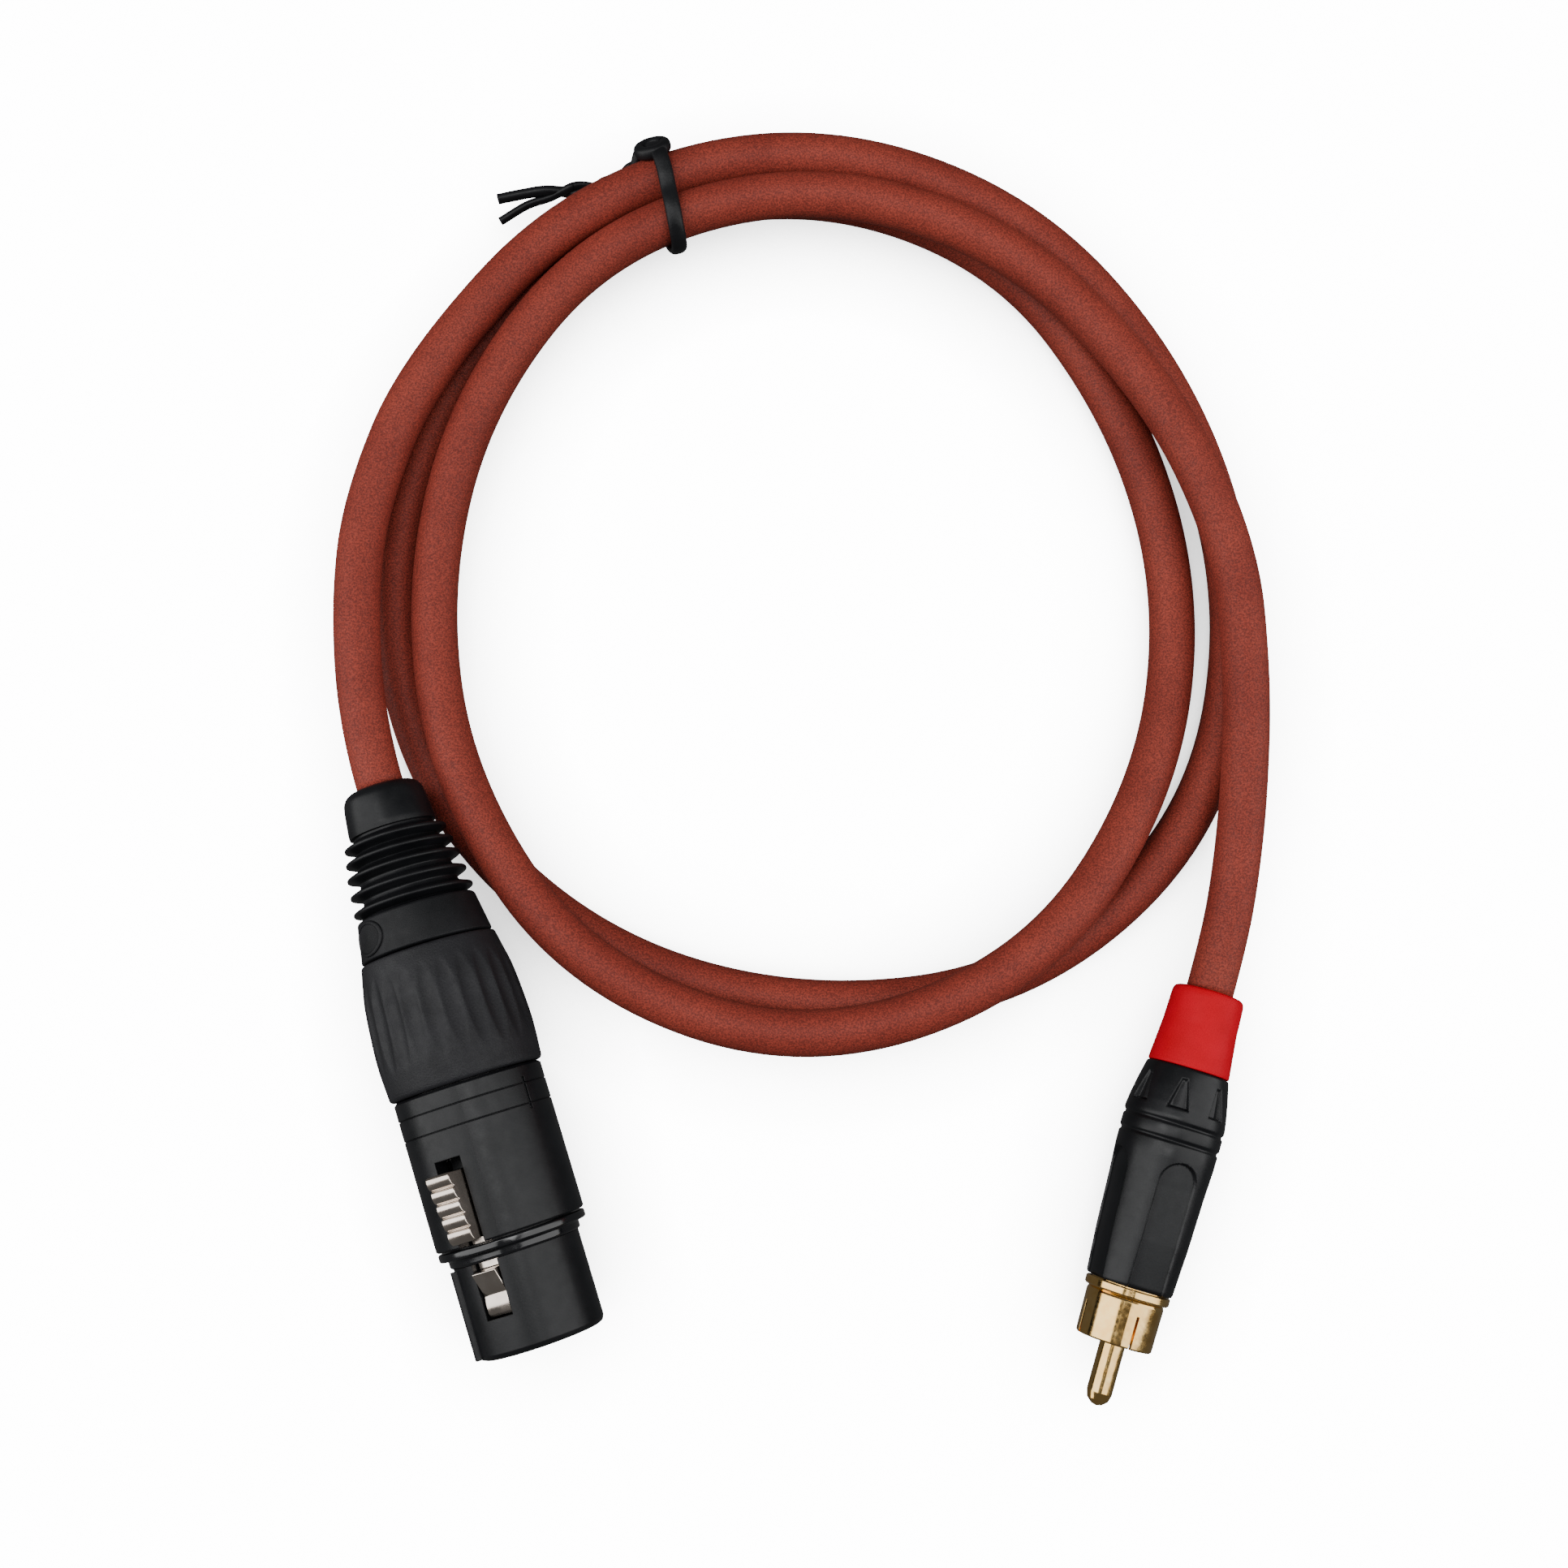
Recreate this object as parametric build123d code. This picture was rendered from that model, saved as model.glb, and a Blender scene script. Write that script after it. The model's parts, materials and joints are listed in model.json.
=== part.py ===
from build123d import *
import os
from math import cos, pi, radians, sin, tan

# A coiled audio lead: a female XLR cable connector, a loose coil held by a twist tie, an RCA plug.
# Millimetres. The lead lies on the plane Z = 0. +X runs from the XLR connector to the RCA plug,
# +Y from the connectors to the coil. The origin is at the bottom centre of the two connectors.

# Cable
CABLE_D = 6.0
WIRE_D = 1.2

# Coil, an off-round ring of about two and a half turns
COIL_X = 1.1
COIL_Y = 64.6
COIL_HEIGHT = 13.0
COIL_EDGE = 2.0
COIL_INNER_BY_HOUR = [47.5, 47.0, 46.5, 46.2, 47.5, 50.0, 50.5, 50.0, 47.5, 45.0, 46.0, 49.0]
COIL_OUTER_BY_HOUR = [62.6, 61.2, 60.0, 60.2, 61.6, 60.6, 60.8, 58.2, 56.8, 60.6, 60.4, 62.0]

# XLR connector: "t" runs along its axis from the cable end to the nose
XLR_X = -52.61
XLR_Y = 37.71
XLR_AXIS_Z = 10.0
XLR_TURN = 17.75
XLR_SHELL_R = 9.4
XLR_NOSE_R = 7.95
XLR_NECK_R = 7.7
XLR_BOOT_BORE_R = 3.2
XLR_SPIGOT_R = 6.0
XLR_BORE_R = 6.8
XLR_THREAD_R = 7.5
XLR_BUSHING_T = 21.55
XLR_SHELL_T = 38.95
XLR_NECK_T = 57.9
XLR_NOSE_T = 60.25
XLR_LENGTH = 71.85
XLR_JACKET_END = 37.4
CHUCK_BORE_R = 3.05
FIN_TS = [6.85, 8.7, 10.6, 12.8, 15.0]
FIN_RS = [6.6, 6.95, 7.3, 7.5, 7.7]
BUSHING_FLUTES = 24

# XLR contacts
SOCKET_CIRCLE_R = 3.8
SOCKET_R = 1.7
SOCKET_BORE_R = 1.2
SOCKET_BORE_DEPTH = 12.0
SOCKET_END = 70.8
INSERT_START = 46.0
INSERT_END = 71.3
CUP_R = 1.4
CUP_BORE_R = 0.65

# XLR latch, in the plane through the axis that is turned this far from the top, to the left
LATCH_ANGLE = 23.0
LATCH_WIDTH = 3.3
SLOT_WIDTH = 3.7
SLOT_T = 47.3
WINDOW_END = 67.1
PAD_WAVES = 4
LATCH_PIVOT_R = 5.0
LATCH_PIVOT_T = 47.4
LATCH_PIN_R = 0.6

# Marks round the XLR connector, turned from the top to the left
KEY_ANGLE = 69.0
BADGE_ANGLE = 47.0
SLIT_ANGLE = -53.0

# RCA plug: "t" runs along its axis from the cable end to the tip
RCA_X = 53.15
RCA_Y = 11.92
RCA_AXIS_Z = 6.4
RCA_TURN = -17.1
RCA_BARREL_T = 10.25
RCA_BARREL_R = 6.38
RCA_BARREL_END = 38.1
RCA_FLANGE_END = 39.3
RCA_SLEEVE_END = 45.3
RCA_LENGTH = 53.3
RCA_BORE_R = 4.7
RCA_BODY_BORE_R = 3.4
RCA_PIN_R = 1.6
RCA_PIN_ROOT_R = 1.25
RCA_PIN_T = 40.4
RCA_SLEEVE_BORE_R = 4.15
RCA_JACKET_END = 20.6
RCA_NOTCHES = 7
RCA_NOTCH_ANGLE = 11.0
RCA_FLUTES = 4
RCA_FLUTE_ANGLE = -14.0
RCA_SLOTS = 4
RCA_SLOT_ANGLE = -15.0
RCA_SLOT_WIDTH = 0.35
RCA_SLOT_T = 41.2

# Screw threads, drawn as plain cylinders
THREAD_GAP = 0.1

# The stretches of cable that aren't coiled, each inside the coil at its other end
ROUTE_FROM_XLR = [
    (-52.61, 37.71, 10.0),
    (-55.35, 46.28, 10.0),
    (-56.8, 62.5, 9.7),
    (-55.8, 76.0, 9.0),
]
ROUTE_TO_RCA = [
    (57.6, 70.0, 9.3),
    (58.7, 52.0, 9.2),
    (58.0, 37.5, 8.3),
    (56.8, 26.8, 7.1),
    (55.21, 18.61, 6.4),
    (53.15, 11.92, 6.4),
]

# Twist tie round the coil, on the ray that is turned this far from +Y
TIE_ANGLE = -19.0
TIE_WIDTH = 2.1
TIE_THICK = 1.2
TIE_GAP = 0.15
TIE_WIRE_R = 0.65
TIE_INNER = 48.0
TIE_OUTER = 63.6
TIE_TOP = 13.7


def turned(points):
    """A solid of revolution about local Z from (radius, t) points."""
    return revolve(Plane.XZ * make_face(Polyline(points, close=True)), Axis.Z)


def rod(radius, start, end, x=0.0, y=0.0):
    """A plain cylinder along local Z."""
    return Pos(x, y, (start + end) / 2) * Cylinder(radius, end - start)


def tube(outer, inner, start, end):
    return rod(outer, start, end) - rod(inner, start - 1, end + 1)


def plate(points, width):
    """A side profile in (radius, t) with a width across the radius."""
    return extrude(Plane.XZ * make_face(Polyline(points, close=True)), width / 2, both=True)


def around(angle, solid):
    """Turn a solid about the connector's axis, to the left of its top."""
    return Rot(0, 0, angle) * solid


def seat(x, y, z, turn):
    """The place of a connector: local Z along its axis, local X upwards."""
    along = (sin(radians(turn)), -cos(radians(turn)), 0)
    return Plane(origin=(x, y, z), x_dir=(0, 0, 1), z_dir=along).location


XLR_SEAT = seat(XLR_X, XLR_Y, XLR_AXIS_Z, XLR_TURN)
RCA_SEAT = seat(RCA_X, RCA_Y, RCA_AXIS_Z, RCA_TURN)


# ---------------------------------------------------------------- XLR connector


def xlr_boot():
    """The kick-proof boot: a round cap, five fins and a spigot under the ring."""
    outline = [(XLR_BOOT_BORE_R, 0), (3.9, 0), (4.6, 0.3), (5.1, 1.0), (5.3, 2.2), (5.6, 5.0), (5.5, 5.5)]
    for t, radius in zip(FIN_TS, FIN_RS):
        outline += [(radius - 1.3, t - 0.75), (radius, t - 0.2), (radius, t + 0.2), (radius - 1.2, t + 0.75)]
    outline += [(6.9, 15.95), (XLR_SPIGOT_R, 15.95), (XLR_SPIGOT_R, 24.6), (6.8, 24.6), (6.8, 26.0)]
    outline += [(XLR_BOOT_BORE_R, 26.0)]
    return turned(outline)


def xlr_id_ring():
    """The conical ring behind the fins, with a plain oval badge."""
    ring = turned([(XLR_SPIGOT_R, 16.05), (7.4, 16.05), (7.6, 16.3), (8.4, 21.2), (XLR_SPIGOT_R, 21.2)])
    face = Plane(origin=(7.3, 0, 18.6), x_dir=(0, 1, 0), z_dir=(1, 0, 0))
    badge = extrude(face * Ellipse(2.7, 2.2), 1.1)
    return ring + around(BADGE_ANGLE, badge)


def xlr_bushing():
    """The screwed bushing, with long shallow finger flutes."""
    outline = [(6.15, XLR_BUSHING_T), (8.4, XLR_BUSHING_T), (8.65, 21.75), (9.55, 26.4), (10.0, 34.0)]
    outline += [(9.75, 38.5), (9.55, 38.8)]
    outline += [(XLR_THREAD_R + THREAD_GAP, 38.8), (XLR_THREAD_R + THREAD_GAP, 28.0)]
    outline += [(7.1, 27.4), (7.1, 24.3), (6.15, 24.3)]
    bushing = turned(outline)
    cutter = Pos(10.35, 0, 29.5) * Rot(0, -3.5, 0) * Cylinder(0.85, 11)
    for i in range(BUSHING_FLUTES):
        bushing -= around(i * 360 / BUSHING_FLUTES, cutter)
    return bushing


def xlr_chuck():
    """The collet that grips the jacket."""
    outline = [(CHUCK_BORE_R, 26.4), (4.6, 26.4), (6.4, 28.6), (6.4, 33.0), (5.6, 37.0), (CHUCK_BORE_R, 37.0)]
    chuck = turned(outline)
    slit = Pos(4.6, 0, 29.4) * Box(4.4, 0.8, 6.4)
    for i in range(3):
        chuck -= around(i * 120, slit)
    return chuck


def groove(radius, t):
    """A fine V line round a turned outline."""
    return [(radius, t - 0.1), (radius - 0.15, t), (radius, t + 0.1)]


def xlr_shell():
    """The shell: thread, body with the latch slot, neck, and the keyed nose with its window."""
    outline = [(XLR_BORE_R, XLR_LENGTH), (XLR_BORE_R, 45.5), (6.6, 45.0), (6.6, 30.0)]
    outline += [(XLR_THREAD_R, 30.0), (XLR_THREAD_R, XLR_SHELL_T)]
    outline += [(XLR_SHELL_R - 0.3, XLR_SHELL_T), (XLR_SHELL_R, XLR_SHELL_T + 0.3)]
    outline += groove(XLR_SHELL_R, 41.25) + groove(XLR_SHELL_R, 43.8)
    outline += [(XLR_SHELL_R, XLR_NECK_T - 0.2), (XLR_SHELL_R - 0.2, XLR_NECK_T)]
    outline += [(XLR_NECK_R, XLR_NECK_T), (XLR_NECK_R, XLR_NOSE_T), (XLR_NOSE_R, XLR_NOSE_T)]
    outline += [(XLR_NOSE_R, XLR_LENGTH - 0.7), (7.7, XLR_LENGTH - 0.2), (7.3, XLR_LENGTH)]
    shell = turned(outline)
    shell += around(KEY_ANGLE, Pos(8.0, 0, 66.0) * Box(1.0, 1.2, 11.0))
    slot = Pos(9.5, 0, (SLOT_T + 58.0) / 2) * Box(8.0, SLOT_WIDTH, 58.0 - SLOT_T)
    window = Pos(8.0, 0, (60.2 + WINDOW_END) / 2) * Box(4.0, SLOT_WIDTH, WINDOW_END - 60.2)
    slit = Pos(XLR_SHELL_R, 0, 42.5) * Box(0.6, 0.4, 4.0)
    return shell - around(LATCH_ANGLE, slot + window) - around(SLIT_ANGLE, slit)


def xlr_rubber_ring():
    """The seal in front of the shell: a flange and a narrower step round the neck."""
    outline = [(XLR_NECK_R, 58.15), (9.2, 58.15), (9.3, 58.3), (9.3, 59.0), (9.2, 59.15)]
    return turned(outline + [(8.5, 59.2), (8.3, 59.4), (8.3, 60.0), (8.15, 60.2), (XLR_NECK_R, 60.2)])


def xlr_insert():
    """The contact block, with its bores, the latch channel and the latch's pivot hole."""
    insert = rod(XLR_BORE_R, INSERT_START, INSERT_END)
    for x, y in socket_places():
        insert -= rod(SOCKET_R, INSERT_START - 1, INSERT_END + 1, x, y)
    channel = Pos(5.9, 0, 57.2) * Box(5.2, LATCH_WIDTH + 0.6, 22.6)
    pin_hole = pivot_hole(LATCH_PIN_R, 2 * XLR_BORE_R)
    return insert - around(LATCH_ANGLE, channel) - around(LATCH_ANGLE, pin_hole)


def pivot_hole(radius, length):
    return Pos(LATCH_PIVOT_R, 0, LATCH_PIVOT_T) * Rot(90, 0, 0) * Cylinder(radius, length)


def socket_places():
    """Contacts 1, 2 and 3: two beside the axis and one opposite the latch."""
    places = []
    for angle in (LATCH_ANGLE - 90, LATCH_ANGLE + 90, LATCH_ANGLE + 180):
        places.append((SOCKET_CIRCLE_R * cos(radians(angle)), SOCKET_CIRCLE_R * sin(radians(angle))))
    return places


def xlr_socket(place):
    """A turned contact with a bore for the mating pin and a solder cup."""
    x, y = place
    body = rod(SOCKET_R, INSERT_START, SOCKET_END, x, y) + rod(CUP_R, 42.5, INSERT_START, x, y)
    body -= rod(SOCKET_BORE_R, SOCKET_END - SOCKET_BORE_DEPTH, SOCKET_END + 1, x, y)
    return body - rod(CUP_BORE_R, 41.0, 45.5, x, y)


def xlr_latch():
    """The latch: an eye round the pivot, the ribbed press pad, an arm and the hook in the window."""
    outline = [(3.9, 47.4), (4.2, 46.6), (5.0, 46.3), (5.8, 46.6), (6.1, 47.4), (6.3, 48.9), (12.3, 48.75)]
    for i in range(PAD_WAVES):
        top = 12.6 - 0.35 * i
        start = 48.75 + 2.05 * i
        outline += [(top, start + 0.5), (top - 0.1, start + 1.1), (top - 0.5, start + 1.5)]
    outline += [(11.1, 57.1), (10.8, 57.35), (6.5, 57.1), (6.5, 61.1), (8.6, 61.3), (8.5, 61.6)]
    outline += [(7.2, 64.2), (7.45, 66.3), (7.1, 66.9), (5.4, 66.9), (5.2, 60.0), (5.0, 48.4), (4.2, 48.2)]
    latch = plate(outline, LATCH_WIDTH)
    return around(LATCH_ANGLE, latch - pivot_hole(LATCH_PIN_R + 0.03, 10))


def xlr_latch_pin():
    return around(LATCH_ANGLE, pivot_hole(LATCH_PIN_R, 6.2))


def xlr_latch_spring():
    strip = [(3.3, 50.0), (3.6, 50.0), (3.6, 53.0), (4.9, 57.0), (4.9, 58.5), (4.6, 58.5), (4.6, 57.1)]
    strip += [(3.3, 53.2)]
    return around(LATCH_ANGLE, plate(strip, 2.4))


def xlr_ground_tab():
    x, y = socket_places()[0]
    cup = rod(CUP_R + 0.5, 43.4, 44.4, x, y) - rod(CUP_R, 43.0, 45.0, x, y)
    reach = Pos(5.9, 0, 43.9) * Box(1.3, 1.2, 1.0)
    return cup + around(LATCH_ANGLE - 90, reach)


def xlr_cable_end():
    return rod(CABLE_D / 2, 0, XLR_JACKET_END)


def xlr_wire(index, start_angle):
    """A core from the jacket's end to a solder cup."""
    x, y = socket_places()[index]
    x0 = 1.4 * cos(radians(start_angle))
    y0 = 1.4 * sin(radians(start_angle))
    path = Polyline((x0, y0, XLR_JACKET_END), (x0, y0, 38.6), (x, y, 42.0), (x, y, 45.4))
    section = Plane(origin=(x0, y0, XLR_JACKET_END), z_dir=(0, 0, 1)) * Circle(WIRE_D / 2)
    return sweep(section, path=path, transition=Transition.RIGHT)


# ---------------------------------------------------------------- RCA plug


def rca_collar():
    """The coloured collar, with a spigot inside the barrel."""
    front = RCA_BARREL_T - 0.05
    outline = [(3.2, 0), (4.1, 0), (4.45, 0.2), (4.6, 0.6), (4.72, 4.6), (5.2, 9.9), (5.2, front)]
    outline += [(4.0, front), (4.0, 13.4), (3.2, 13.4)]
    return turned(outline)


def rca_notch(angle):
    """A triangular hollow with its apex towards the cable."""
    face = Plane(origin=(5.4, 0, 0), x_dir=(0, 1, 0), z_dir=(1, 0, 0))
    triangle = face * make_face(Polyline((0, 11.7), (1.5, 15.4), (-1.5, 15.4), close=True))
    return around(angle, extrude(triangle, 2.0))


def rca_flute(angle):
    """A long shallow flat with a rounded end, open at the barrel's front."""
    face = Plane(origin=(5.6, 0, 0), x_dir=(0, 1, 0), z_dir=(1, 0, 0))
    slot = face * (Pos(0, 24.4) * Circle(2.6) + Pos(0, 33.1) * Rectangle(5.2, 17.4))
    return around(angle, extrude(slot, 2.0))


def rca_barrel():
    """The screwed barrel: a swelling with notches, two grooves, and long flutes."""
    outline = [(4.1, RCA_BARREL_T), (5.1, RCA_BARREL_T), (5.25, 10.45), (5.8, 12.9), (6.2, 15.1)]
    outline += [(RCA_BARREL_R, 16.6), (RCA_BARREL_R, 16.9), (6.15, 17.2), (6.15, 17.45), (6.36, 17.65)]
    outline += [(6.36, 19.1), (6.12, 19.35), (6.12, 19.6), (6.33, 19.8), (6.3, 21.5), (6.1, 25.0)]
    outline += [(5.85, 32.0), (5.5, 37.7), (5.4, RCA_BARREL_END)]
    outline += [(RCA_BORE_R + THREAD_GAP, RCA_BARREL_END), (RCA_BORE_R + THREAD_GAP, 15.4), (4.1, 15.4)]
    barrel = turned(outline)
    for i in range(RCA_NOTCHES):
        barrel -= rca_notch(RCA_NOTCH_ANGLE + i * 360 / RCA_NOTCHES)
    for i in range(RCA_FLUTES):
        barrel -= rca_flute(RCA_FLUTE_ANGLE + i * 360 / RCA_FLUTES)
    return barrel


def rca_body():
    """The threaded body under the barrel, with the flange in front of it."""
    outline = [(RCA_BODY_BORE_R, 30.0), (RCA_BORE_R, 30.0), (RCA_BORE_R, RCA_BARREL_END + 0.1)]
    outline += [(5.2, RCA_BARREL_END + 0.1), (5.35, RCA_BARREL_END + 0.25), (5.35, RCA_FLANGE_END - 0.2)]
    outline += [(5.15, RCA_FLANGE_END), (RCA_BODY_BORE_R, RCA_FLANGE_END)]
    return turned(outline)


def rca_ground_sleeve():
    """The slotted outer contact."""
    outline = [(RCA_SLEEVE_BORE_R, RCA_FLANGE_END), (4.7, RCA_FLANGE_END), (4.9, RCA_FLANGE_END + 0.5)]
    outline += [(4.8, RCA_SLEEVE_END - 0.2), (4.6, RCA_SLEEVE_END), (RCA_SLEEVE_BORE_R, RCA_SLEEVE_END)]
    sleeve = turned(outline)
    slot = Pos(4.6, 0, RCA_SLOT_T + 3) * Box(2.0, RCA_SLOT_WIDTH, 6.0)
    for i in range(RCA_SLOTS):
        sleeve -= around(RCA_SLOT_ANGLE + i * 360 / RCA_SLOTS, slot)
    return sleeve


def rca_insulator():
    inside = tube(RCA_BODY_BORE_R, RCA_PIN_ROOT_R, 31.0, RCA_FLANGE_END)
    return inside + tube(RCA_SLEEVE_BORE_R, RCA_PIN_ROOT_R, RCA_FLANGE_END, RCA_PIN_T)


def rca_centre_pin():
    """The centre contact: a thinner root in the insulator, the round-ended pin and a solder cup."""
    outline = [(0, 27.0), (RCA_PIN_ROOT_R, 27.0), (RCA_PIN_ROOT_R, RCA_PIN_T), (RCA_PIN_R, RCA_PIN_T)]
    outline += [(RCA_PIN_R, RCA_LENGTH - 1.7), (1.35, RCA_LENGTH - 0.8)]
    outline += [(0.7, RCA_LENGTH - 0.2), (0, RCA_LENGTH)]
    return turned(outline) - rod(CUP_BORE_R, 26.0, 29.4)


def rca_cable_clamp():
    clamp = tube(3.7, CABLE_D / 2, 16.0, 20.0) - Pos(3.4, 0, 18.0) * Box(1.6, 1.4, 6.0)
    strap = Pos(-3.35, 0, 24.9) * Box(0.7, 2.4, 10.2)
    return clamp + strap


def rca_inner_tube():
    return tube(4.45, 4.05, 20.5, 29.8)


def rca_cable_end():
    return rod(CABLE_D / 2, 0, RCA_JACKET_END)


def rca_wire(points):
    """A core from the jacket's end, through these points of the plug's own frame."""
    section = Plane(origin=points[0], z_dir=(0, 0, 1)) * Circle(WIRE_D / 2)
    return sweep(section, path=Polyline(*points), transition=Transition.RIGHT)


def rca_wire_hot():
    return rca_wire([(0.8, 0, RCA_JACKET_END), (0.8, 0, 22.0), (0, 0, 25.0), (0, 0, 29.2)])


def rca_wire_screen():
    return rca_wire([(-1.2, 0, RCA_JACKET_END), (-1.2, 0, 21.8), (-2.35, 0, 24.0), (-2.35, 0, 28.6)])


# ---------------------------------------------------------------- cable


def hour_point(radius, hour):
    """A point of the ring, hours counted clockwise from +Y."""
    angle = radians(30 * hour)
    return COIL_X + radius * sin(angle), COIL_Y + radius * cos(angle)


def ring_outline(radii):
    points = []
    for hour, radius in enumerate(radii):
        points.append(hour_point(radius, hour))
    return make_face(Spline(points, periodic=True))


def cable_coil():
    """The outer shape of the coil: flat below, with room for the connectors and the tie."""
    ring = ring_outline(COIL_OUTER_BY_HOUR) - ring_outline(COIL_INNER_BY_HOUR)
    coil = extrude(ring, COIL_HEIGHT)
    top_edges = coil.edges().filter_by_position(Axis.Z, COIL_HEIGHT - 0.01, COIL_HEIGHT + 0.01)
    coil = chamfer(top_edges, COIL_EDGE)
    room = turned([(0, -9.0), (8.9, -9.0), (8.9, 11.0), (10.5, 14.0), (10.5, 42.0), (0, 42.0)])
    beside_tie = Pos(64.0, 6.0, COIL_HEIGHT / 2) * Box(6.4, 19.0, COIL_HEIGHT + 1)
    return coil - XLR_SEAT * room - tie_frame(tie_band(TIE_GAP)) - tie_frame(beside_tie)


def smooth_path(route):
    """Runs joined by tangent arcs, each as large as its two runs allow."""
    radii = []
    for before, corner, after in zip(route, route[1:], route[2:]):
        a = Vector(*corner) - Vector(*before)
        b = Vector(*after) - Vector(*corner)
        turn = a.get_angle(b)
        radius = 0.45 * min(a.length, b.length) / tan(radians(turn) / 2)
        print(f"corner turns {turn:.1f} degrees, radius {radius:.1f} mm")
        radii.append(radius)
    return FilletPolyline(*route, radius=radii)


def cable_tube(route):
    path = smooth_path(route)
    start = Plane(origin=path @ 0, z_dir=path % 0)
    solid = sweep(start * Circle(CABLE_D / 2), path=path)
    expected = pi * (CABLE_D / 2) ** 2 * path.length
    print(f"tube length {path.length:.1f} mm, volume {solid.volume / expected:.4f} of section times length")
    return solid


# ---------------------------------------------------------------- twist tie


def tie_frame(solid):
    """Place a solid drawn with local X outwards from the coil's middle and local Y along the coil."""
    return Pos(COIL_X, COIL_Y, 0) * Rot(0, 0, 90 - TIE_ANGLE) * solid


def tie_band(gap):
    """The closed band round the coil, grown by a gap on every side."""
    middle = Pos((TIE_INNER + TIE_OUTER) / 2, TIE_TOP / 2)
    width = TIE_OUTER - TIE_INNER + 2 * gap
    height = TIE_TOP + 2 * gap
    wall = 2 * (TIE_THICK + 2 * gap)
    outside = Plane.XZ * (middle * RectangleRounded(width, height, 4.2))
    inside = Plane.XZ * (middle * RectangleRounded(width - wall, height - wall, 3.0))
    return extrude(outside - inside, TIE_WIDTH / 2 + gap, both=True)


def tie_strand(route):
    path = Polyline(*route)
    section = Plane(origin=route[0], z_dir=path % 0) * Circle(TIE_WIRE_R)
    return sweep(section, path=path, transition=Transition.RIGHT)


def twist_tie():
    """The band, the loop that it passes through, the twist, and two loose tails."""
    knot = Pos(62.6, -0.2, 11.0) * Rot(0, 60, 0) * Torus(1.7, 0.8)
    twist = tie_strand([(62.9, 1.0, 10.4), (62.8, 3.0, 8.4), (63.3, 7.8, 5.0), (63.5, 12.4, 4.5)])
    upper = tie_strand([(63.5, 12.2, 4.5), (64.6, 16.5, 4.3), (65.6, 21.1, 4.0)])
    lower = tie_strand([(63.5, 12.2, 4.5), (63.8, 17.0, 3.6), (62.9, 21.8, 3.0)])
    return tie_frame(tie_band(0) + knot + twist + upper + lower)


# ---------------------------------------------------------------- nodes


def xlr_parts():
    parts = {
        "xlr_boot": xlr_boot(),
        "xlr_id_ring": xlr_id_ring(),
        "xlr_bushing": xlr_bushing(),
        "xlr_chuck": xlr_chuck(),
        "xlr_shell": xlr_shell(),
        "xlr_rubber_ring": xlr_rubber_ring(),
        "xlr_insert": xlr_insert(),
        "xlr_latch": xlr_latch(),
        "xlr_latch_pin": xlr_latch_pin(),
        "xlr_latch_spring": xlr_latch_spring(),
        "xlr_ground_tab": xlr_ground_tab(),
        "xlr_cable_end": xlr_cable_end(),
        "xlr_wire_screen": xlr_wire(0, LATCH_ANGLE - 90),
        "xlr_wire_hot": xlr_wire(1, LATCH_ANGLE + 90),
        "xlr_wire_cold": xlr_wire(2, LATCH_ANGLE + 180),
    }
    for number, place in enumerate(socket_places(), start=1):
        parts[f"xlr_socket_{number}"] = xlr_socket(place)
    return parts


def rca_parts():
    return {
        "rca_collar": rca_collar(),
        "rca_barrel": rca_barrel(),
        "rca_body": rca_body(),
        "rca_ground_sleeve": rca_ground_sleeve(),
        "rca_insulator": rca_insulator(),
        "rca_centre_pin": rca_centre_pin(),
        "rca_cable_clamp": rca_cable_clamp(),
        "rca_inner_tube": rca_inner_tube(),
        "rca_cable_end": rca_cable_end(),
        "rca_wire_hot": rca_wire_hot(),
        "rca_wire_screen": rca_wire_screen(),
    }


def cable_parts():
    return {
        "cable_coil": cable_coil(),
        "cable_tail_xlr": cable_tube(ROUTE_FROM_XLR),
        "cable_tail_rca": cable_tube(ROUTE_TO_RCA),
        "twist_tie": twist_tie(),
    }


def main():
    os.makedirs("parts", exist_ok=True)
    nodes = cable_parts()
    for name, solid in xlr_parts().items():
        nodes[name] = XLR_SEAT * solid
    for name, solid in rca_parts().items():
        nodes[name] = RCA_SEAT * solid
    for name, solid in nodes.items():
        export_step(solid, f"parts/{name}.step")
    return nodes


main()
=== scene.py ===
import json
import math

import bmesh
import bpy
from mathutils import Matrix, Vector


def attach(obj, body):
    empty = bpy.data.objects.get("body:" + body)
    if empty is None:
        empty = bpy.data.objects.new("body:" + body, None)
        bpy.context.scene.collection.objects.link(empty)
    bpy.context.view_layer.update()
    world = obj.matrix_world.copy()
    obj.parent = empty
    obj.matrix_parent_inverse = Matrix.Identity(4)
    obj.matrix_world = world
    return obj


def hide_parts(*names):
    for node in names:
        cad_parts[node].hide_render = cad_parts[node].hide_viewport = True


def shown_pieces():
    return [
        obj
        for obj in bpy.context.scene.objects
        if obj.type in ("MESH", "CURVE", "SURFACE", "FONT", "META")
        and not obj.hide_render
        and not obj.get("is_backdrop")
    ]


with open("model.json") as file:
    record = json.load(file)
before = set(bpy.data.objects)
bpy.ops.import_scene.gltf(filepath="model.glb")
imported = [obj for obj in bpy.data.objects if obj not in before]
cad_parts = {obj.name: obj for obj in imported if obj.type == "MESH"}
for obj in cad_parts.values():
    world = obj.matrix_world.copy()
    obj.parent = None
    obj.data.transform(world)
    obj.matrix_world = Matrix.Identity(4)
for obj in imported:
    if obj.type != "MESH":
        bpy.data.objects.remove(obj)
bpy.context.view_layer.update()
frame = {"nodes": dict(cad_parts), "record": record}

MM = 0.001

# ---------------------------------------------------------------- camera

CAMERA_AT = (-1.15, 3.65, 256.3)
CAMERA_TILT = 8.0
CAMERA_LENS = 44.72


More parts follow.
